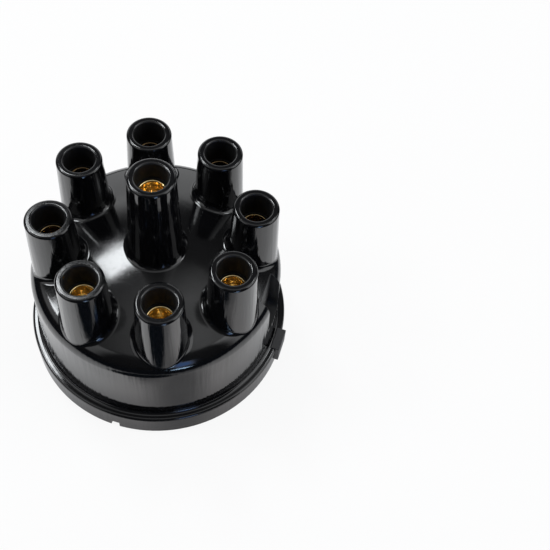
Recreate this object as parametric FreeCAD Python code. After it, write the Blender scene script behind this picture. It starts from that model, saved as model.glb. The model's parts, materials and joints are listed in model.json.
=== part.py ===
import FreeCAD, Part
import math
import os

# Distributor cap for an eight-cylinder engine: one black phenolic moulding with
# eight plug towers round a taller coil tower, brass terminals moulded into it
# and a carbon button under the middle of its roof.
#
# Millimetres and degrees. The origin lies on the cap's axis in the plane of its
# base rim, and +Z points up through the coil tower. The outer towers are
# numbered anticlockwise from the one that points along -Y.

# Driving dimensions: base flange
flange_radius = 45.6
flange_height = 9.4
flange_top_round = 1.0
flange_bottom_round = 0.5
register_wall = 5.0
register_depth = 5.0
seal_seat_wall = 1.7
seal_seat_depth = 1.6

# Driving dimensions: skirt, shoulder and domed deck
flange_ledge = 2.8
skirt_draft = 1.5
skirt_foot_fillet = 1.2
shoulder_round = 7.0
deck_top = 48.8
deck_crown_rise = 8.42
skirt_wall = 3.9
roof_thickness = 4.6
cavity_draft = 1.0
cavity_round = 3.0

# Driving dimensions: towers
tower_count = 8
first_tower_azimuth = -90.6
tower_inset = 10.6
tower_top = 66.5
coil_tower_top = 84.6
tower_rim_radius = 7.4
tower_draft = 2.6
tower_foot_fillet = 2.0
rim_outer_round = 0.9
rim_inner_round = 0.7
socket_radius = 5.1

# Driving dimensions: brass socket cups
cup_length = 11.0
cup_bore_radius = 3.8
cup_wall = 0.5
cup_floor = 0.7
cup_lip_round = 0.4
cup_lip_depth = 9.5
coil_cup_lip_depth = 6.85
grip_groove_depths = (2.0, 4.2, 6.4)
grip_groove_height = 0.9
grip_groove_sink = 0.2

# Driving dimensions: electrodes, coil conductor and carbon button
stem_radius = 2.0
rivet_shank_radius = 1.4
rivet_head_radius = 2.4
rivet_head_height = 0.9
electrode_radius = 3.0
electrode_length = 6.0
electrode_chamfer = 0.5
rotor_cut_inset = 2.0
boss_radius = 5.4
boss_draft = 3.0
boss_bottom = 36.5
centre_boss_radius = 6.6
centre_boss_bottom = 38.0
button_radius = 3.0
button_grip = 4.5
button_reach = 4.2
button_tip_round = 1.2

# Driving dimensions: spring-clip pockets, locating lug and vent notch
clip_azimuth = -24.0
pocket_count = 2
pocket_depth = 4.65
pocket_width = 11.6
pocket_floor = 23.5
pocket_corner_round = 2.5
pocket_backing = 3.0
lug_width = 8.7
lug_root = 2.2
lug_reach = 1.2
lug_bottom = 1.8
lug_stand_above_ledge = 0.4
lug_edge_round = 0.3
notch_azimuth = -113.8
notch_width = 3.1
notch_height = 3.2

# Worked-out values
UP = FreeCAD.Vector(0, 0, 1)
AXIS = FreeCAD.Vector(0, 0, 0)
register_radius = flange_radius - register_wall
seal_seat_radius = flange_radius - seal_seat_wall
skirt_foot_radius = flange_radius - flange_ledge
tower_circle_radius = skirt_foot_radius - tower_inset
rotor_clearance_radius = tower_circle_radius - rotor_cut_inset
pocket_wall_distance = skirt_foot_radius - pocket_depth
lug_inner_distance = flange_radius - lug_root
lug_outer_distance = flange_radius + lug_reach
deck_crown_radius = (skirt_foot_radius**2 + deck_crown_rise**2) / (2 * deck_crown_rise)
crown_centre_z = deck_top - deck_crown_radius
tower_pitch = 360.0 / tower_count
tower_azimuths = [first_tower_azimuth + tower_pitch * i for i in range(tower_count)]
cup_outer_radius = cup_bore_radius + cup_wall
clearance_over_part = 5.0
match_tolerance = 0.05
search_reach = 1.0


def polar(radius, azimuth, z):
    """Point at a radius and azimuth about the cap's axis."""
    angle = math.radians(azimuth)
    return FreeCAD.Vector(radius * math.cos(angle), radius * math.sin(angle), z)


def crown_height(radius):
    """Height of the deck's crown over a radius."""
    return crown_centre_z + math.sqrt(deck_crown_radius**2 - radius**2)


def skirt_radius(z):
    """Outer radius of the drafted skirt at a height."""
    return skirt_foot_radius - (z - flange_height) * math.tan(math.radians(skirt_draft))


def cone_between(foot_radius, top_radius, bottom, top, centre=AXIS):
    """Truncated cone that stands on a vertical axis through a point."""
    base = FreeCAD.Vector(centre.x, centre.y, bottom)
    return Part.makeCone(foot_radius, top_radius, top - bottom, base, UP)


def post(radius, bottom, top, centre=AXIS):
    """Cylinder that stands on a vertical axis through a point."""
    base = FreeCAD.Vector(centre.x, centre.y, bottom)
    return Part.makeCylinder(radius, top - bottom, base, UP)


def radial_block(azimuth, inner, outer, width, bottom, top):
    """Block that reaches outwards from one distance to another, square to an azimuth."""
    corner = FreeCAD.Vector(inner, -width / 2, bottom)
    block = Part.makeBox(outer - inner, width, top - bottom, corner)
    block.rotate(AXIS, UP, azimuth)
    return block


def ring_edges(shape, centre, inner, outer, bottom, top):
    """Edges that stay inside a ring-shaped zone round a vertical axis."""
    found = []
    for edge in shape.Edges:
        if edge.Degenerated:
            continue
        points = edge.discretize(7)
        distances = [math.hypot(p.x - centre.x, p.y - centre.y) for p in points]
        heights = [p.z for p in points]
        in_ring = inner < min(distances) and max(distances) < outer
        if in_ring and bottom < min(heights) and max(heights) < top:
            found.append(edge)
    return found


def round_ring(shape, size, radius, z, centre=AXIS, reach=match_tolerance):
    """Round the circular edge that lies within reach of a radius and height."""
    edges = ring_edges(shape, centre, radius - reach, radius + reach, z - reach, z + reach)
    return shape.makeFillet(size, edges)


def revolve_outline(start, steps, centre):
    """Revolve a closed outline of radius and height pairs about a vertical axis.

    A step with one pair is a straight line to it, and a step with two pairs is
    an arc through the first to the second.
    """
    edges = []
    here = FreeCAD.Vector(start[0], 0, start[1])
    for step in steps + [[start]]:
        points = [FreeCAD.Vector(radius, 0, z) for radius, z in step]
        if len(points) == 2:
            edges.append(Part.Arc(here, points[0], points[1]).toShape())
        else:
            edges.append(Part.LineSegment(here, points[0]).toShape())
        here = points[-1]
    solid = Part.Face(Part.Wire(edges)).revolve(AXIS, UP, 360)
    solid.translate(FreeCAD.Vector(centre.x, centre.y, 0))
    return solid


def cup_heights(rim_top, lip_depth):
    """Heights of a brass cup's lip, inner floor and underside below a tower's rim."""
    lip = rim_top - lip_depth
    underside = lip - cup_length
    return lip, underside + cup_floor, underside


def base_and_deck():
    """Flange, drafted skirt, rounded shoulder and domed deck, still solid."""
    skirt = cone_between(skirt_foot_radius, skirt_radius(deck_top), flange_height, deck_top)
    crown = Part.makeSphere(deck_crown_radius, FreeCAD.Vector(0, 0, crown_centre_z))
    dome = skirt.common(crown)
    shoulder_radius = skirt_radius(crown_height(skirt_foot_radius))
    shoulder_z = crown_height(shoulder_radius)
    dome = round_ring(dome, shoulder_round, shoulder_radius, shoulder_z, reach=search_reach)
    body = post(flange_radius, 0, flange_height).fuse(dome).removeSplitter()
    body = round_ring(body, flange_top_round, flange_radius, flange_height)
    body = round_ring(body, flange_bottom_round, flange_radius, 0)
    return round_ring(body, skirt_foot_fillet, skirt_foot_radius, flange_height)


def tower_blank(centre, top):
    """Solid tapered tower with a rounded rim, sunk into the roof."""
    root = boss_bottom
    spread = (top - root) * math.tan(math.radians(tower_draft))
    blank = cone_between(tower_rim_radius + spread, tower_rim_radius, root, top, centre)
    return round_ring(blank, rim_outer_round, tower_rim_radius, top, centre)


def add_tower(body, centre, top):
    """Fuse a tower to the deck and fillet its foot all round."""
    body = body.fuse(tower_blank(centre, top)).removeSplitter()
    taper = math.tan(math.radians(tower_draft))
    deck_level_radius = tower_rim_radius + (top - deck_top) * taper
    root_radius = tower_rim_radius + (top - boss_bottom) * taper
    foot = ring_edges(
        body,
        centre,
        deck_level_radius - match_tolerance,
        root_radius - match_tolerance,
        boss_bottom + match_tolerance,
        deck_top + match_tolerance,
    )
    return body.makeFillet(tower_foot_fillet, foot)


def rotor_cavity():
    """Space inside the skirt, with inner flats behind the clip pockets."""
    foot = skirt_foot_radius - skirt_wall
    top = deck_top - roof_thickness
    head = foot - (top - register_depth) * math.tan(math.radians(cavity_draft))
    cone = cone_between(foot, head, register_depth, top)
    ceiling_radius = deck_crown_radius - roof_thickness
    ceiling = Part.makeSphere(ceiling_radius, FreeCAD.Vector(0, 0, crown_centre_z))
    cavity = cone.common(ceiling)
    edge_z = crown_centre_z + math.sqrt(ceiling_radius**2 - head**2)
    cavity = round_ring(cavity, cavity_round, head, edge_z, reach=search_reach)
    for azimuth in pocket_azimuths():
        cavity = cavity.cut(
            radial_block(
                azimuth,
                pocket_wall_distance - pocket_backing,
                flange_radius,
                pocket_width + 2 * pocket_backing,
                pocket_floor - pocket_backing,
                deck_top,
            )
        )
    return cavity


def pocket_azimuths():
    """Directions of the spring-clip pockets, evenly spaced."""
    return [clip_azimuth + 360.0 / pocket_count * i for i in range(pocket_count)]


def boss(bottom_radius, bottom, centre):
    """Tapered boss that hangs from the roof round a conductor."""
    top = deck_top - roof_thickness
    spread = (top - bottom) * math.tan(math.radians(boss_draft))
    return cone_between(bottom_radius, bottom_radius + spread, bottom, top, centre)


def clip_pocket(azimuth):
    """Cutter for the recess in the shoulder that a spring clip hooks into."""
    outer = flange_radius + clearance_over_part
    cutter = radial_block(
        azimuth, pocket_wall_distance, outer, pocket_width, pocket_floor, deck_top + clearance_over_part
    )
    outward = polar(1, azimuth, 0)
    lower_corners = []
    for edge in cutter.Edges:
        low = max(v.Point.z for v in edge.Vertexes) < pocket_floor + match_tolerance
        run = edge.Vertexes[-1].Point - edge.Vertexes[0].Point
        if low and abs(run.dot(outward)) > match_tolerance:
            lower_corners.append(edge)
    return cutter.makeFillet(pocket_corner_round, lower_corners)


def socket_bore(centre, top, lip_depth):
    """Cutter for a plug socket and the seat of the brass cup in its floor."""
    lip, _, underside = cup_heights(top, lip_depth)
    bore = post(socket_radius, lip, top, centre)
    bead_seat = post(cup_bore_radius + 2 * cup_lip_round, lip - 2 * cup_lip_round, lip, centre)
    return bore.fuse(bead_seat).fuse(post(cup_outer_radius, underside, lip, centre))


def cap_moulding():
    """The one-piece phenolic moulding."""
    body = base_and_deck()
    sites = tower_sites()
    for centre, top, _ in sites:
        body = add_tower(body, centre, top)
    cavity = rotor_cavity()
    for centre, top, _ in sites[:-1]:
        cavity = cavity.cut(boss(boss_radius, boss_bottom, centre))
    cavity = cavity.cut(boss(centre_boss_radius, centre_boss_bottom, AXIS))
    body = body.cut(cavity)
    body = body.cut(post(register_radius, 0, register_depth))
    body = body.cut(post(seal_seat_radius, 0, seal_seat_depth))
    for azimuth in pocket_azimuths():
        body = body.cut(clip_pocket(azimuth))
    for centre, top, lip_depth in sites:
        body = body.cut(socket_bore(centre, top, lip_depth))
        body = round_ring(body, rim_inner_round, socket_radius, top, centre)
    for centre, top, lip_depth in sites[:-1]:
        underside = cup_heights(top, lip_depth)[2]
        body = body.cut(post(stem_radius, boss_bottom, underside, centre))
    coil_underside = cup_heights(coil_tower_top, coil_cup_lip_depth)[2]
    body = body.cut(post(stem_radius, button_seat(), coil_underside))
    body = body.cut(post(button_radius, centre_boss_bottom, button_seat()))
    body = body.fuse(locating_lug()).removeSplitter()
    return body.cut(vent_notch())


def tower_sites():
    """Axis point, rim height and cup depth of each outer tower, then of the coil tower."""
    sites = [(polar(tower_circle_radius, a, 0), tower_top, cup_lip_depth) for a in tower_azimuths]
    return sites + [(AXIS, coil_tower_top, coil_cup_lip_depth)]


def button_seat():
    """Height at which the carbon button meets the coil conductor."""
    return centre_boss_bottom + button_grip


def locating_lug():
    """Raised lug on the ledge that keys the cap to the distributor's bowl."""
    top = flange_height + lug_stand_above_ledge
    lug = radial_block(clip_azimuth, lug_inner_distance, lug_outer_distance, lug_width, lug_bottom, top)
    return lug.makeFillet(lug_edge_round, lug.Edges)


def vent_notch():
    """Cutter for the vent through the base rim."""
    inner = register_radius - clearance_over_part
    outer = flange_radius + clearance_over_part
    return radial_block(notch_azimuth, inner, outer, notch_width, 0, notch_height)


def socket_cup(centre, rim_top, lip_depth):
    """Drawn brass cup with a rolled lip, grip grooves and a rivet hole in its floor."""
    lip, floor, underside = cup_heights(rim_top, lip_depth)
    bore = cup_bore_radius
    bead = cup_lip_round
    steps = [
        [(cup_outer_radius, underside)],
        [(cup_outer_radius, lip - 2 * bead)],
        [(bore + 2 * bead, lip - bead)],
        [(bore + bead, lip), (bore, lip - bead)],
    ]
    for depth in grip_groove_depths:
        middle = lip - depth
        steps += [
            [(bore, middle + grip_groove_height / 2)],
            [(bore + grip_groove_sink, middle)],
            [(bore, middle - grip_groove_height / 2)],
        ]
    steps += [[(bore, floor)], [(rivet_shank_radius, floor)]]
    return revolve_outline((rivet_shank_radius, underside), steps, centre)


def rivet_end(centre, floor, underside):
    """Shank through a cup's floor and the domed head that was peened over inside it."""
    top = floor + rivet_head_height
    ball_radius = (rivet_head_radius**2 + rivet_head_height**2) / (2 * rivet_head_height)
    ball = Part.makeSphere(ball_radius, FreeCAD.Vector(centre.x, centre.y, top - ball_radius))
    head = ball.common(post(ball_radius, floor, top + clearance_over_part, centre))
    return head.fuse(post(rivet_shank_radius, underside, floor, centre))


def tower_electrode(centre):
    """Turned brass insert: rivet end, stem through the roof and the head that the rotor passes."""
    floor, underside = cup_heights(tower_top, cup_lip_depth)[1:]
    tip = boss_bottom - electrode_length
    steps = [
        [(electrode_radius - electrode_chamfer, tip)],
        [(electrode_radius, tip + electrode_chamfer)],
        [(electrode_radius, boss_bottom)],
        [(stem_radius, boss_bottom)],
        [(stem_radius, underside)],
        [(0, underside)],
    ]
    insert = revolve_outline((0, tip), steps, centre)
    insert = insert.fuse(rivet_end(centre, floor, underside)).removeSplitter()
    return insert.cut(post(rotor_clearance_radius, tip - clearance_over_part, boss_bottom))


def coil_conductor():
    """Brass stem from the coil tower's cup down to the carbon button."""
    floor, underside = cup_heights(coil_tower_top, coil_cup_lip_depth)[1:]
    stem = post(stem_radius, button_seat(), underside)
    return stem.fuse(rivet_end(AXIS, floor, underside)).removeSplitter()


def carbon_button():
    """Carbon contact under the middle of the roof, with a rounded tip."""
    tip = centre_boss_bottom - button_reach
    button = post(button_radius, tip, button_seat())
    return round_ring(button, button_tip_round, button_radius, tip)


def write_part(name, shape):
    """Save one piece under its name."""
    shape.exportStep("parts/" + name + ".step")
    print(name, "valid", shape.isValid(), "solids", len(shape.Solids), "mm3", round(shape.Volume, 1))


def main():
    os.makedirs("parts", exist_ok=True)
    write_part("cap_moulding", cap_moulding())
    for number, azimuth in enumerate(tower_azimuths, start=1):
        centre = polar(tower_circle_radius, azimuth, 0)
        write_part("tower_cup_%d" % number, socket_cup(centre, tower_top, cup_lip_depth))
        write_part("tower_electrode_%d" % number, tower_electrode(centre))
    write_part("coil_tower_cup", socket_cup(AXIS, coil_tower_top, coil_cup_lip_depth))
    write_part("coil_conductor", coil_conductor())
    write_part("carbon_button", carbon_button())


main()
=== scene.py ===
import json
import math

import bpy
import numpy as np
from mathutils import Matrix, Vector


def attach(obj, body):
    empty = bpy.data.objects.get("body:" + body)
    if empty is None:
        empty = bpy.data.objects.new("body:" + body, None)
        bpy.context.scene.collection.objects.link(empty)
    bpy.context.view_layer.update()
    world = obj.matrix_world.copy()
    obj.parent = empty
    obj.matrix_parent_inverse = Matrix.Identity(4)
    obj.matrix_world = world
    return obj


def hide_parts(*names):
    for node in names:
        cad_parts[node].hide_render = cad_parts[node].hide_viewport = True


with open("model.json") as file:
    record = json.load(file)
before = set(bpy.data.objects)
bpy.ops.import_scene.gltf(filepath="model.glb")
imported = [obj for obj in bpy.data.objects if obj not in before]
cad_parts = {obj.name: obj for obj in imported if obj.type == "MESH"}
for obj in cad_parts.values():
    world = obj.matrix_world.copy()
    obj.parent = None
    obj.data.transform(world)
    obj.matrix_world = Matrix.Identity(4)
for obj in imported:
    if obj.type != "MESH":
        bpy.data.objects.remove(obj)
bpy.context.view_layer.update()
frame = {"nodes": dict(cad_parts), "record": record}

MM = 0.001

# Sizes of the moulding, in millimetres and radians, named as in the part's source
FLANGE_RADIUS = 45.6
FLANGE_HEIGHT = 9.4
FLANGE_TOP_ROUND = 1.0
FLANGE_BOTTOM_ROUND = 0.5
FLANGE_LEDGE = 2.8
SKIRT_FOOT_RADIUS = FLANGE_RADIUS - FLANGE_LEDGE
SKIRT_DRAFT = math.radians(1.5)
SKIRT_FOOT_FILLET = 1.2
SHOULDER_ROUND = 7.0
DECK_TOP = 48.8
DECK_CROWN_RISE = 8.42
DECK_CROWN_RADIUS = (SKIRT_FOOT_RADIUS**2 + DECK_CROWN_RISE**2) / (2 * DECK_CROWN_RISE)
TOWER_COUNT = 8
TOWER_PITCH = 2 * math.pi / TOWER_COUNT
FIRST_TOWER_AZIMUTH = math.radians(-90.6)
TOWER_INSET = 10.6
TOWER_CIRCLE_RADIUS = SKIRT_FOOT_RADIUS - TOWER_INSET
TOWER_TOP = 66.5
COIL_TOWER_TOP = 84.6
TOWER_RIM_RADIUS = 7.4
TOWER_DRAFT = math.radians(2.6)
TOWER_FOOT_FILLET = 2.0
RIM_OUTER_ROUND = 0.9
RIM_INNER_ROUND = 0.7
SOCKET_RADIUS = 5.1
CLIP_AZIMUTH = math.radians(-24.0)
POCKET_DEPTH = 4.65
POCKET_WALL_DISTANCE = SKIRT_FOOT_RADIUS - POCKET_DEPTH
POCKET_WIDTH = 11.6
POCKET_FLOOR = 23.5
LUG_ROOT = 2.2
LUG_INNER_DISTANCE = FLANGE_RADIUS - LUG_ROOT
LUG_WIDTH = 8.7
LUG_BOTTOM = 1.8


class Nodes:
    """Short way to add and join shader nodes."""

    def __init__(self, tree):
        self.tree = tree
        tree.nodes.clear()

    def add(self, kind, inputs=None, **settings):
        node = self.tree.nodes.new(kind)
        for key, value in settings.items():
            setattr(node, key, value)
        for key, value in (inputs or {}).items():
            if isinstance(value, bpy.types.NodeSocket):
                self.tree.links.new(value, node.inputs[key])
            else:
                node.inputs[key].default_value = value
        return node

    def math(self, operation, *values):
        return self.add("ShaderNodeMath", dict(enumerate(values)), operation=operation).outputs[0]

    def product(self, first, *others):
        for other in others:
            first = self.math("MULTIPLY", first, other)
        return first

    def vector(self, operation, *values):
        node = self.add("ShaderNodeVectorMath", dict(enumerate(values)), operation=operation)
        return node.outputs["Value"] if operation in ("DOT_PRODUCT", "LENGTH") else node.outputs["Vector"]

    def length(self, vector, scale):
        return self.vector("LENGTH", self.vector("MULTIPLY", vector, scale))

    def axes(self, vector):
        """The X, Y and Z of a vector."""
        return tuple(self.add("ShaderNodeSeparateXYZ", {"Vector": vector}).outputs)

    def smooth(self, value, low, high, to_low=0.0, to_high=1.0):
        return self.add(
            "ShaderNodeMapRange",
            {"Value": value, "From Min": low, "From Max": high, "To Min": to_low, "To Max": to_high},
            interpolation_type="SMOOTHSTEP",
        ).outputs["Result"]

    def rise(self, value, low, high):
        """0 up to the low value and 1 from the high one."""
        return self.smooth(value, low, high)

    def fall(self, value, low, high):
        """1 up to the low value and 0 from the high one."""
        return self.smooth(value, low, high, 1.0, 0.0)

    def noise(self, vector, scale, detail=3.0, roughness=0.5):
        return self.add(
            "ShaderNodeTexNoise",
            {"Vector": vector, "Scale": scale, "Detail": detail, "Roughness": roughness},
        ).outputs["Fac"]

    def stretch(self, vector, scale):
        return self.add("ShaderNodeMapping", {"Vector": vector, "Scale": scale}).outputs["Vector"]

    def bump(self, height, distance, strength, normal=None):
        inputs = {"Height": height, "Distance": distance, "Strength": strength}
        if normal is not None:
            inputs["Normal"] = normal
        return self.add("ShaderNodeBump", inputs).outputs["Normal"]

    def ramp(self, value, stops):
        node = self.add("ShaderNodeValToRGB", {"Fac": value})
        elements = node.color_ramp.elements
        while len(elements) < len(stops):
            elements.new(0.5)
        for element, (position, level) in zip(elements, stops):
            element.position = position
            element.color = grey(level)
        return node.outputs["Color"]

    def mix_colour(self, factor, first, second):
        """Mix by socket number, since the node has sockets of one name for each kind of value."""
        node = self.add("ShaderNodeMix", data_type="RGBA")
        for index, value in ((0, factor), (6, first), (7, second)):
            if isinstance(value, bpy.types.NodeSocket):
                self.tree.links.new(value, node.inputs[index])
            else:
                node.inputs[index].default_value = value
        return node.outputs[2]

    def emission(self, colour, strength):
        return self.add("ShaderNodeEmission", {"Color": colour, "Strength": strength}).outputs[0]

    def mix_shader(self, factor, first, second):
        return self.add("ShaderNodeMixShader", {0: factor, 1: first, 2: second}).outputs[0]


def grey(level):
    return (level, level, level, 1.0)


def new_material(name):
    material = bpy.data.materials.new(name)
    material.use_nodes = True
    return material, Nodes(material.node_tree)


# Masks
WITHOUT_HEIGHT = (1.0, 1.0, 0.0)


def edge(size, start, end):
    """Where a mask's soft edge starts and ends, in metres, beside a size in millimetres."""
    return (size + start) * MM, (size + end) * MM


def clip_axes(n, place):
    """Distance outwards at the near clip recess, distance to either side, and height."""
    outward = (math.cos(CLIP_AZIMUTH), math.sin(CLIP_AZIMUTH), 0.0)
    sideways = (-math.sin(CLIP_AZIMUTH), math.cos(CLIP_AZIMUTH), 0.0)
    along = n.vector("DOT_PRODUCT", place, outward)
    across = n.math("ABSOLUTE", n.vector("DOT_PRODUCT", place, sideways))
    return along, across, n.axes(place)[2]


def lug_mask(n, place):
    """1 on the locating lug and 0 elsewhere."""
    along, across, height = clip_axes(n, place)
    past = n.rise(along, *edge(LUG_INNER_DISTANCE, -0.05, 0.2))
    within = n.fall(across, *edge(LUG_WIDTH / 2, -0.15, 0.1))
    above = n.rise(height, *edge(LUG_BOTTOM, -0.1, 0.1))
    return n.product(past, within, above)


def pocket_mask(n, place):
    """1 inside the two clip recesses and 0 elsewhere."""
    along, across, height = clip_axes(n, place)
    past = n.rise(n.math("ABSOLUTE", along), *edge(POCKET_WALL_DISTANCE, -0.25, -0.05))
    within = n.fall(across, *edge(POCKET_WIDTH / 2, 0.02, 0.15))
    above = n.rise(height, *edge(POCKET_FLOOR, -0.2, -0.05))
    return n.product(past, within, above)


def bore_mask(n, place):
    """1 inside the plug and coil sockets and 0 elsewhere."""
    x, y, height = n.axes(place)
    turned = n.math("SUBTRACT", n.math("ARCTAN2", y, x), FIRST_TOWER_AZIMUTH)
    nearest_tower = n.math("ROUND", n.math("DIVIDE", turned, TOWER_PITCH))
    off = n.math("SUBTRACT", turned, n.math("MULTIPLY", nearest_tower, TOWER_PITCH))
    from_axis = n.length(place, WITHOUT_HEIGHT)
    beside = n.math("MULTIPLY", from_axis, n.math("SINE", off))
    along = n.math("MULTIPLY", from_axis, n.math("COSINE", off))
    beyond = n.math("SUBTRACT", along, TOWER_CIRCLE_RADIUS * MM)
    from_tower = n.math("SQRT", n.math("ADD", n.math("POWER", beside, 2.0), n.math("POWER", beyond, 2.0)))
    inside = n.fall(n.math("MINIMUM", from_tower, from_axis), *edge(SOCKET_RADIUS, 0.1, 0.4))
    return n.product(inside, n.rise(height, *edge(DECK_TOP, 0.2, 1.2)))


# Phenolic
PHENOLIC_IOR = 1.55
GLOSS_BLACKS = ((0.0022, 0.0022, 0.0027, 1.0), (0.0042, 0.0042, 0.005, 1.0))
LUG_GREYS = ((0.024, 0.024, 0.025, 1.0), (0.062, 0.062, 0.065, 1.0))
UPRIGHT_SHARE_OF_ROUGHNESS = 0.55
LUG_ADDED_ROUGHNESS = 0.45
DULL_ADDED_ROUGHNESS = 0.5


def phenolic_material():
    """Glossy black moulding, duller in its sockets and recesses, with a rough-cast grey lug."""
    material, n = new_material("phenolic")
    place = n.add("ShaderNodeTexCoord").outputs["Object"]
    slope = n.axes(n.add("ShaderNodeNewGeometry").outputs["True Normal"])[2]
    upright = n.fall(n.math("ABSOLUTE", slope), 0.25, 0.6)
    lug = lug_mask(n, place)
    dull = n.math("MAXIMUM", bore_mask(n, place), pocket_mask(n, place))
    cloud = n.noise(place, scale=90.0, detail=4.0)
    waves = n.noise(place, scale=140.0, detail=2.0)
    draw_marks = n.noise(n.stretch(place, (1.0, 1.0, 0.04)), scale=700.0)
    fine = n.noise(place, scale=900.0, roughness=0.6)
    grain = n.noise(place, scale=2600.0, detail=4.0, roughness=0.7)
    satin = n.math("ADD", n.smooth(cloud, 0.3, 0.7, 0.085, 0.14), n.smooth(fine, 0.5, 0.8, 0.0, 0.05))
    satin = n.math("MULTIPLY", satin, n.smooth(upright, 0.0, 1.0, 1.0, UPRIGHT_SHARE_OF_ROUGHNESS))
    roughness = n.math("MULTIPLY_ADD", dull, DULL_ADDED_ROUGHNESS, satin)
    roughness = n.math("MULTIPLY_ADD", lug, LUG_ADDED_ROUGHNESS, roughness)
    relief = n.bump(waves, distance=0.08 * MM, strength=0.5)
    relief = n.bump(draw_marks, n.math("MULTIPLY", upright, 0.16 * MM), 0.8, relief)
    relief = n.bump(fine, 0.004 * MM, 0.5, relief)
    relief = n.bump(grain, n.math("MULTIPLY", lug, 0.06 * MM), 1.0, relief)
    shader = n.add(
        "ShaderNodeBsdfPrincipled",
        {
            "Base Color": n.mix_colour(
                lug, n.mix_colour(cloud, *GLOSS_BLACKS), n.mix_colour(grain, *LUG_GREYS)
            ),
            "Roughness": roughness,
            "IOR": PHENOLIC_IOR,
            "Normal": relief,
        },
    )
    n.add("ShaderNodeOutputMaterial", {"Surface": shader.outputs["BSDF"]})
    return material


# Brass
BRIGHT_BRASSES = ((0.95, 0.72, 0.34, 1.0), (0.98, 0.78, 0.42, 1.0))
DULL_BRASS = (0.72, 0.48, 0.19, 1.0)
BRASS_PAINTED_SHADE = (0.12, 0.07, 0.035, 1.0)
RINGS_PER_METRE = 1500.0
RINGS_ACROSS = 14.0


def brass_material():
    """Turned brass with faint tool rings, painted darker in the rear towers as shade."""
    material, n = new_material("brass")
    coordinates = n.add("ShaderNodeTexCoord")
    place = coordinates.outputs["Object"]
    y, height = n.axes(place)[1:]
    from_own_axis = n.vector("SUBTRACT", coordinates.outputs["Generated"], (0.5, 0.5, 0.0))
    own_radius = n.length(from_own_axis, WITHOUT_HEIGHT)
    turned = n.math(
        "ADD", n.math("MULTIPLY", height, RINGS_PER_METRE), n.math("MULTIPLY", own_radius, RINGS_ACROSS)
    )
    turned = n.add("ShaderNodeCombineXYZ", {"X": turned}).outputs["Vector"]
    rings = n.noise(turned, scale=2.2, roughness=0.7)
    stain = n.noise(place, scale=380.0, detail=4.0, roughness=0.6)
    speck = n.noise(place, scale=1800.0)
    stained = n.mix_colour(n.rise(stain, 0.52, 0.75), n.mix_colour(speck, *BRIGHT_BRASSES), DULL_BRASS)
    # Painted shade: the brass darkens towards the rear of the cap, in the plug towers only.
    in_rear = n.smooth(y, -25.0 * MM, 12.0 * MM, 0.0, 0.92)
    in_plug_tower = n.rise(n.length(place, WITHOUT_HEIGHT), 15.0 * MM, 20.0 * MM)
    rear_shade = n.math("MULTIPLY", in_rear, in_plug_tower)
    roughness = n.math("ADD", n.smooth(stain, 0.35, 0.7, 0.1, 0.2), n.smooth(rings, 0.3, 0.7, 0.0, 0.06))
    shader = n.add(
        "ShaderNodeBsdfPrincipled",
        {
            "Base Color": n.mix_colour(rear_shade, stained, BRASS_PAINTED_SHADE),
            "Metallic": 1.0,
            "Roughness": roughness,
            "Normal": n.bump(speck, 0.006 * MM, 0.5, n.bump(rings, 0.015 * MM, 0.6)),
        },
    )
    n.add("ShaderNodeOutputMaterial", {"Surface": shader.outputs["BSDF"]})
    return material


# Carbon
CARBON_GREYS = ((0.014, 0.014, 0.015, 1.0), (0.045, 0.045, 0.048, 1.0))


def carbon_material():
    """Pressed carbon, with the rubbed marks of the rotor's blade."""
    material, n = new_material("carbon")
    place = n.add("ShaderNodeTexCoord").outputs["Object"]
    grain = n.noise(place, scale=2400.0, detail=4.0, roughness=0.65)
    rub = n.noise(n.stretch(place, (1.0, 1.0, 0.1)), scale=500.0, detail=2.0)
    shader = n.add(
        "ShaderNodeBsdfPrincipled",
        {
            "Base Color": n.mix_colour(grain, *CARBON_GREYS),
            "Roughness": n.smooth(rub, 0.3, 0.7, 0.42, 0.62),
            "Normal": n.bump(grain, 0.02 * MM, 0.8),
        },
    )
    n.add("ShaderNodeOutputMaterial", {"Surface": shader.outputs["BSDF"]})
    return material


# Pieces
made = {"phenolic": phenolic_material(), "brass": brass_material(), "carbon": carbon_material()}
slot_of = {part["node"]: part["material_slot"] for part in frame["record"]["subparts"]}
for name, piece in frame["nodes"].items():
    piece.data.materials.clear()
    piece.data.materials.append(made[slot_of[name]])

# Moulding with exact shading normals, all in millimetres
ON_FORM = 0.02
ON_FILLET = 0.019
FILLET_SLACK = 0.2
FACE_SLACK = 0.01
SAME_WAY = 0.7
LEAST_SPREAD = 1e-3
TINY = 1e-9
TOWER_SURROUND = 14.0
LOWEST_FILLET = 30.0
LOWEST_TOWER_SIDE = 40.0
LOWEST_SOCKET = 50.0


def about_axis(points, x=0.0, y=0.0):
    """Distance from an upright axis, height, and outward direction of each point."""
    offset = points[:, :2] - np.array([x, y])
    radius = np.hypot(offset[:, 0], offset[:, 1])
    outward = offset / np.maximum(radius, TINY)[:, None]
    return radius, points[:, 2], outward


def tilt(outward, sideways, upwards):
    """Unit vectors with an outward and an upward share."""
    length = np.maximum(np.hypot(sideways, upwards), TINY)
    flat = outward * (sideways / length)[:, None]
    return np.column_stack([flat, np.broadcast_to(upwards / length, len(flat))])


def levelled(outward):
    """The outward directions as level unit vectors in space."""
    return np.column_stack([outward, np.zeros(len(outward))])


def ring(radius, z, outward, ring_radius, ring_z, size):
    """Distance to a torus about the axis, and its direction away from the tube's centre."""
    across = radius - ring_radius
    up = z - ring_z
    return np.hypot(across, up) - size, tilt(outward, across, up)


def cone(radius, z, outward, foot_radius, foot_z, draft):
    """Distance to a drafted side, and its outward direction."""
    away = (radius - foot_radius + (z - foot_z) * math.tan(draft)) * math.cos(draft)
    level = np.ones(len(z))
    return away, tilt(outward, level * math.cos(draft), level * math.sin(draft))


def round_inset(size, draft):
    """How far the centre of a round lies inside the end of the drafted side that it ends."""
    return size / math.cos(draft) - size * math.tan(draft)


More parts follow.
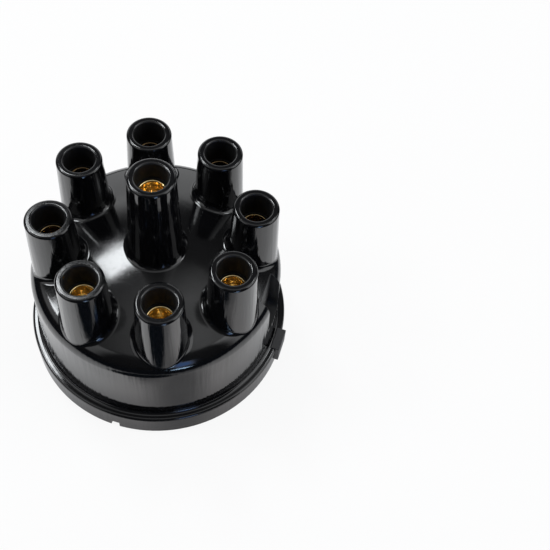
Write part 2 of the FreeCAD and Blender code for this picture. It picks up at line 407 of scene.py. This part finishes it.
def shoulder_centre():
    """Radius and height of the centre of the shoulder's round, and height of the deck's centre."""
    deck_centre = DECK_TOP - DECK_CROWN_RADIUS
    slope = math.tan(SKIRT_DRAFT)
    reach = DECK_CROWN_RADIUS - SHOULDER_ROUND
    foot = SKIRT_FOOT_RADIUS + (FLANGE_HEIGHT - deck_centre) * slope
    foot -= SHOULDER_ROUND / math.cos(SKIRT_DRAFT)
    spread = 1 + slope**2
    rise = (foot * slope + math.sqrt(spread * reach**2 - foot**2)) / spread
    return foot - rise * slope, deck_centre + rise, deck_centre


def skirt_and_deck(points):
    """Distance to the skirt, shoulder or deck, whichever is nearest, and its direction."""
    radius, z, outward = about_axis(points)
    ring_radius, ring_z, deck_centre = shoulder_centre()
    away, normal = ring(radius, z, outward, ring_radius, ring_z, SHOULDER_ROUND)
    slope = np.arctan2(z - ring_z, radius - ring_radius)
    over = (slope > math.atan2(ring_z - deck_centre, ring_radius)) | (slope < -math.pi / 2)
    deck_away, deck_normal = ring(radius, z, outward, 0.0, deck_centre, DECK_CROWN_RADIUS)
    side = ~over & (slope < SKIRT_DRAFT)
    side_away, side_normal = cone(radius, z, outward, SKIRT_FOOT_RADIUS, FLANGE_HEIGHT, SKIRT_DRAFT)
    away = np.where(over, deck_away, np.where(side, side_away, away))
    normal = np.where(over[:, None], deck_normal, np.where(side[:, None], side_normal, normal))
    return away, normal


def fillet_between(size, first_away, first_normal, second_away, second_normal):
    """Distance and direction to the centre of a ball that rests on both faces."""
    lean = (first_normal * second_normal).sum(1)
    spare = np.maximum(1 - lean**2, LEAST_SPREAD)
    first_share = ((size - first_away) - lean * (size - second_away)) / spare
    second_share = ((size - second_away) - lean * (size - first_away)) / spare
    to_centre = first_normal * first_share[:, None] + second_normal * second_share[:, None]
    reach = np.linalg.norm(to_centre, axis=1)
    return reach, to_centre / np.maximum(reach, TINY)[:, None]


class Normals:
    """Keeps, for each point, the normal of the form that it lies on most exactly."""

    def __init__(self, points, rough):
        self.points = points
        self.rough = rough
        self.kept = rough.copy()
        self.nearest = np.full(len(points), ON_FORM)
        self.up = np.tile([0.0, 0.0, 1.0], (len(points), 1))

    def offer(self, away, normal, where=True):
        fits = (np.abs(away) < self.nearest) & ((normal * self.rough).sum(1) > SAME_WAY) & where
        self.nearest[fits] = np.abs(away)[fits]
        self.kept[fits] = normal[fits]

    def offer_base(self, body_away, body_normal):
        """Skirt, shoulder, deck and the outer faces of the flange."""
        radius, z, outward = about_axis(self.points)
        above_fillet = z > FLANGE_HEIGHT + 0.9 * SKIRT_FOOT_FILLET
        self.offer(body_away, body_normal, above_fillet)
        self.offer(z - FLANGE_HEIGHT, self.up)
        self.offer(radius - FLANGE_RADIUS, levelled(outward))
        for size, round_z in (
            (FLANGE_TOP_ROUND, FLANGE_HEIGHT - FLANGE_TOP_ROUND),
            (FLANGE_BOTTOM_ROUND, FLANGE_BOTTOM_ROUND),
        ):
            self.offer(*ring(radius, z, outward, FLANGE_RADIUS - size, round_z, size))
        foot_z = FLANGE_HEIGHT + SKIRT_FOOT_FILLET
        foot_radius = SKIRT_FOOT_RADIUS + round_inset(SKIRT_FOOT_FILLET, SKIRT_DRAFT)
        away, normal = ring(radius, z, outward, foot_radius, foot_z, SKIRT_FOOT_FILLET)
        self.offer(away, -normal, (z < foot_z) & (radius < foot_radius))

    def offer_tower(self, x, y, top, body_away, body_normal):
        """Side, rim, socket and foot fillet of the tower at one place."""
        radius, z, outward = about_axis(self.points, x, y)
        near = radius < TOWER_SURROUND
        side_away, side_normal = cone(radius, z, outward, TOWER_RIM_RADIUS, top, TOWER_DRAFT)
        outer_radius = TOWER_RIM_RADIUS - round_inset(RIM_OUTER_ROUND, TOWER_DRAFT)
        inner_radius = SOCKET_RADIUS + RIM_INNER_ROUND
        self.offer(side_away, side_normal, near & (z > LOWEST_TOWER_SIDE))
        for size, round_radius in ((RIM_OUTER_ROUND, outer_radius), (RIM_INNER_ROUND, inner_radius)):
            self.offer(*ring(radius, z, outward, round_radius, top - size, size), near)
        self.offer(z - top, self.up, near)
        self.offer(radius - SOCKET_RADIUS, -levelled(outward), near & (z > LOWEST_SOCKET))
        reach, fillet = fillet_between(TOWER_FOOT_FILLET, side_away, side_normal, body_away, body_normal)
        between = near & (z > LOWEST_FILLET) & (np.abs(reach - TOWER_FOOT_FILLET) < FILLET_SLACK)
        for away in (side_away, body_away):
            between &= (away > -FACE_SLACK) & (away < TOWER_FOOT_FILLET)
        self.offer(np.full(len(z), ON_FILLET), fillet, between)


def exact_normals(points, rough):
    """The surface's own normal at each vertex, or the rough one where no form above is met."""
    normals = Normals(points, rough)
    body = skirt_and_deck(points)
    normals.offer_base(*body)
    for i in range(TOWER_COUNT):
        azimuth = FIRST_TOWER_AZIMUTH + i * TOWER_PITCH
        x, y = TOWER_CIRCLE_RADIUS * math.cos(azimuth), TOWER_CIRCLE_RADIUS * math.sin(azimuth)
        normals.offer_tower(x, y, TOWER_TOP, *body)
    normals.offer_tower(0.0, 0.0, COIL_TOWER_TOP, *body)
    return normals.kept


def smooth_moulding():
    """The moulding's own mesh with exact normals, so that its gloss doesn't show the facets."""
    mesh = frame["nodes"]["cap_moulding"].data.copy()
    points = np.empty(3 * len(mesh.vertices))
    mesh.vertices.foreach_get("co", points)
    points = points.reshape(-1, 3) / MM
    corner_normals = np.empty(3 * len(mesh.loops))
    mesh.corner_normals.foreach_get("vector", corner_normals)
    corner_vertices = np.empty(len(mesh.loops), dtype=int)
    mesh.loops.foreach_get("vertex_index", corner_vertices)
    rough = np.zeros_like(points)
    np.add.at(rough, corner_vertices, corner_normals.reshape(-1, 3))
    rough /= np.maximum(np.linalg.norm(rough, axis=1), TINY)[:, None]
    mesh.normals_split_custom_set_from_vertices(exact_normals(points, rough))
    moulding = bpy.data.objects.new("moulding", mesh)
    bpy.context.scene.collection.objects.link(moulding)
    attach(moulding, "root")
    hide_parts("cap_moulding")


smooth_moulding()

# Floor, in metres
FLOOR_HALF_WIDTH = 1.5
FLOOR_DROP = 0.05 * MM
# Painted light: the gloss sees the floor glow only inside these bounds, and painted dark outside them.
LIT_LEFT = (-0.19, -0.14)
LIT_RIGHT = (0.1, 0.15)
LIT_FRONT = (-0.115, -0.08)
# Painted shade in what the gloss sees of the floor: a ring of shade round the cap's foot and dark patches
# in front of it.
# Centre x and y, scale across, inner and outer radius, share of the light left inside
PAINTED_SHADE_PATCHES = (
    (-0.021, -0.078, 0.72, 0.016, 0.024, 0.0),
    (0.008, -0.095, 1.0, 0.02, 0.04, 0.5),
    (0.008, -0.056, 0.6, 0.003, 0.016, 0.4),
    (0.0, 0.0, 1.0, 0.0455, 0.056, 0.55),
)
FLOOR_WHITES = ((0.88, 0.88, 0.89, 1.0), (0.92, 0.92, 0.92, 1.0))
SEEN_GLOW_SHARE = 0.9
# Painted light: for glossy rays the floor glows, brighter at the left than the right, and tinted warm
# near the front of the cap.
LIT_GLOW_SHARE = 0.4
LIT_GLOW_CHANGE = (-0.08, -0.03)
LIT_GLOW_LEFT = 2.1
LIT_GLOW_RIGHT = 1.6
WARM_PATCH = (0.008, -0.056, 0.6)
WARM_EDGE = (0.01, 0.04)
WARM_TINT = (1.0, 0.955, 0.945, 1.0)
# Painted highlight: a bluish strip on the floor that glows only for glossy rays.
STRIP_FAR = (-0.62, -0.55)
STRIP_NEAR = (-0.3, -0.24)
STRIP_SIDES = (0.025, 0.045)
STRIP_LEAN = -0.194
STRIP_TINT = (0.5, 0.72, 1.0, 1.0)
STRIP_GLOW = 13.0
DARK_GLOW = 0.03


def patch_distance(n, place, x, y, across):
    return n.length(n.vector("SUBTRACT", place, (x, y, 0.0)), (across, 1.0, 0.0))


def painted_glow_share(n, place, x, y):
    """How much of the painted glow the gloss sees at each place, from 0 to 1; the rest is painted dark.
    """
    share = n.product(n.rise(x, *LIT_LEFT), n.fall(x, *LIT_RIGHT), n.rise(y, *LIT_FRONT))
    for centre_x, centre_y, across, inner, outer, left in PAINTED_SHADE_PATCHES:
        distance = patch_distance(n, place, centre_x, centre_y, across)
        share = n.product(share, n.smooth(distance, inner, outer, left, 1.0))
    return share


def painted_strip_highlight(n, x, y):
    """1 on the bluish strip far in front of the object, which glows only for the gloss as a painted
    highlight, and 0 elsewhere.
    """
    beside = n.math("SUBTRACT", x, n.math("MULTIPLY", y, STRIP_LEAN))
    within = n.fall(n.math("ABSOLUTE", beside), *STRIP_SIDES)
    return n.product(n.rise(y, *STRIP_FAR), n.fall(y, *STRIP_NEAR), within)


def floor_material():
    """White floor, clear from below, which the gloss sees as a painted lit table: painted light with
    painted shade patches and a glowing bluish strip.
    """
    material, n = new_material("white_floor")
    place = n.add("ShaderNodeTexCoord").outputs["Object"]
    x, y = n.axes(place)[:2]
    tone = n.mix_colour(n.noise(place, scale=6.0), *FLOOR_WHITES)
    matt = n.add("ShaderNodeBsdfDiffuse", {"Color": tone}).outputs["BSDF"]
    # Painted light and shade for glossy rays: a warm-tinted glow, brighter at the left, over painted dark
    # with a glowing strip.
    away = n.rise(patch_distance(n, place, *WARM_PATCH), *WARM_EDGE)
    glow = n.smooth(x, *LIT_GLOW_CHANGE, LIT_GLOW_LEFT, LIT_GLOW_RIGHT)
    lit = n.emission(n.mix_colour(away, WARM_TINT, grey(1.0)), glow)
    lit = n.mix_shader(LIT_GLOW_SHARE, matt, lit)
    dark = n.emission(STRIP_TINT, n.math("MULTIPLY_ADD", painted_strip_highlight(n, x, y), STRIP_GLOW, DARK_GLOW))
    reflected = n.mix_shader(painted_glow_share(n, place, x, y), dark, lit)
    seen = n.mix_shader(SEEN_GLOW_SHARE, matt, n.emission(grey(1.0), 1.0))
    ray = n.add("ShaderNodeLightPath").outputs
    above = n.mix_shader(ray["Is Glossy Ray"], matt, reflected)
    above = n.mix_shader(ray["Is Camera Ray"], above, seen)
    from_below = n.add("ShaderNodeNewGeometry").outputs["Backfacing"]
    clear = n.add("ShaderNodeBsdfTransparent").outputs["BSDF"]
    n.add("ShaderNodeOutputMaterial", {"Surface": n.mix_shader(from_below, above, clear)})
    return material


def make_floor():
    mesh = bpy.data.meshes.new("floor")
    corners = [(-1, -1), (1, -1), (1, 1), (-1, 1)]
    places = [(x * FLOOR_HALF_WIDTH, y * FLOOR_HALF_WIDTH, -FLOOR_DROP) for x, y in corners]
    mesh.from_pydata(places, [], [(0, 1, 2, 3)])
    mesh.materials.append(floor_material())
    floor = bpy.data.objects.new("floor", mesh)
    bpy.context.scene.collection.objects.link(floor)


make_floor()

# World
STUDIO_TINT = (0.97, 0.985, 1.0, 1.0)
WINDOW_TINT = (0.2, 0.42, 1.0, 1.0)
WINDOW_GLOW = 2.6
# Elevation in degrees, strength
SKY = (
    (-16, 0.9),
    (-8, 0.03),
    (6, 0.03),
    (20, 0.05),
    (45, 0.07),
    (62, 0.13),
    (70, 0.38),
    (78, 0.6),
    (90, 0.7),
)
# Azimuth, half-width, soft edge at the sides, lower and upper elevation in degrees, strength
PANELS = (
    (188, 30, 10, 20, 62, 0.95),
    (-12, 24, 8, 3, 62, 1.8),
    (85, 45, 10, 7, 34, 1.45),
    (104, 8, 3, 30, 39, 0.8),
    (5, 50, 20, 63, 80, 0.5),
)
# The same without the strength
WINDOW = (-77, 6, 3, 4, 26)
SOFT_BELOW = 3
SOFT_ABOVE = 4


def sine(degrees):
    return math.sin(math.radians(degrees))


def cosine(degrees):
    return math.cos(math.radians(degrees))


def direction(azimuth, elevation):
    flat = cosine(elevation)
    return (cosine(azimuth) * flat, sine(azimuth) * flat, sine(elevation))


def panel_light(n, heading, sine_up, azimuth, half_width, soft, low, high):
    """1 on a soft-edged panel in the world and 0 elsewhere."""
    facing = n.vector("DOT_PRODUCT", heading, direction(azimuth, 0))
    across = n.rise(facing, cosine(half_width + soft), cosine(half_width - soft))
    above = n.rise(sine_up, sine(low - SOFT_BELOW), sine(low + SOFT_BELOW))
    below = n.fall(sine_up, sine(high - SOFT_ABOVE), sine(high + SOFT_ABOVE))
    return n.product(across, above, below)


def make_world():
    """Dim studio with soft panels, which the camera sees as plain white."""
    world = bpy.data.worlds.new("studio")
    world.use_nodes = True
    bpy.context.scene.world = world
    n = Nodes(world.node_tree)
    look = n.add("ShaderNodeTexCoord").outputs["Generated"]
    sine_up = n.axes(look)[2]
    heading = n.vector("NORMALIZE", n.vector("MULTIPLY", look, WITHOUT_HEIGHT))
    level = n.math("MULTIPLY_ADD", sine_up, 0.5, 0.5)
    glow = n.ramp(level, [((sine(elevation) + 1) / 2, strength) for elevation, strength in SKY])
    for *panel, strength in PANELS:
        lit = n.math("MULTIPLY", panel_light(n, heading, sine_up, *panel), strength)
        glow = n.math("ADD", glow, lit)
    window = panel_light(n, heading, sine_up, *WINDOW)
    glow = n.math("MULTIPLY_ADD", window, WINDOW_GLOW, glow)
    studio = n.emission(n.mix_colour(window, STUDIO_TINT, WINDOW_TINT), glow)
    by_camera = n.add("ShaderNodeLightPath").outputs["Is Camera Ray"]
    shown = n.mix_shader(by_camera, studio, n.emission(grey(1.0), 1.0))
    n.add("ShaderNodeOutputWorld", {"Surface": shown})


make_world()

# Lamps
LAMP_DISTANCE = 1.2
LAMP_TINT = (0.94, 0.975, 1.0)
LAMP_TARGET = (0.0, 0.0, 45.0 * MM)


def soft_box(name, azimuth, elevation, width, height, radiance):
    """Area lamp that faces the object; its width and height are degrees, as seen from it."""
    data = bpy.data.lights.new(name, "AREA")
    data.shape = "RECTANGLE"
    data.size = 2 * LAMP_DISTANCE * math.tan(math.radians(width / 2))
    data.size_y = 2 * LAMP_DISTANCE * math.tan(math.radians(height / 2))
    data.energy = radiance * math.pi * data.size * data.size_y
    data.color = LAMP_TINT
    lamp = bpy.data.objects.new(name, data)
    bpy.context.scene.collection.objects.link(lamp)
    away = Vector(direction(azimuth, elevation))
    lamp.location = Vector(LAMP_TARGET) + away * LAMP_DISTANCE
    lamp.rotation_mode = "QUATERNION"
    lamp.rotation_quaternion = away.to_track_quat("Z", "Y")


soft_box("rear_left_box", azimuth=118.0, elevation=58.0, width=13.0, height=11.0, radiance=20.0)
soft_box("left_box", azimuth=167.0, elevation=44.0, width=12.0, height=10.0, radiance=17.0)
soft_box("right_box", azimuth=15.0, elevation=54.0, width=10.0, height=8.0, radiance=7.0)

# Camera, fitted to the photograph
CAMERA_PLACE = (0.0, -0.161189, 0.290993)
CAMERA_ANGLES = (31.67228, -4.285867, -7.474676)


def make_camera():
    data = bpy.data.cameras.new("camera")
    data.sensor_width = 36.0
    data.lens = 57.5247
    data.clip_start = 0.01
    data.clip_end = 20.0
    camera = bpy.data.objects.new("camera", data)
    bpy.context.scene.collection.objects.link(camera)
    camera.location = CAMERA_PLACE
    camera.rotation_euler = [math.radians(angle) for angle in CAMERA_ANGLES]
    bpy.context.scene.camera = camera


make_camera()

bpy.context.scene.view_settings.view_transform = "Standard"
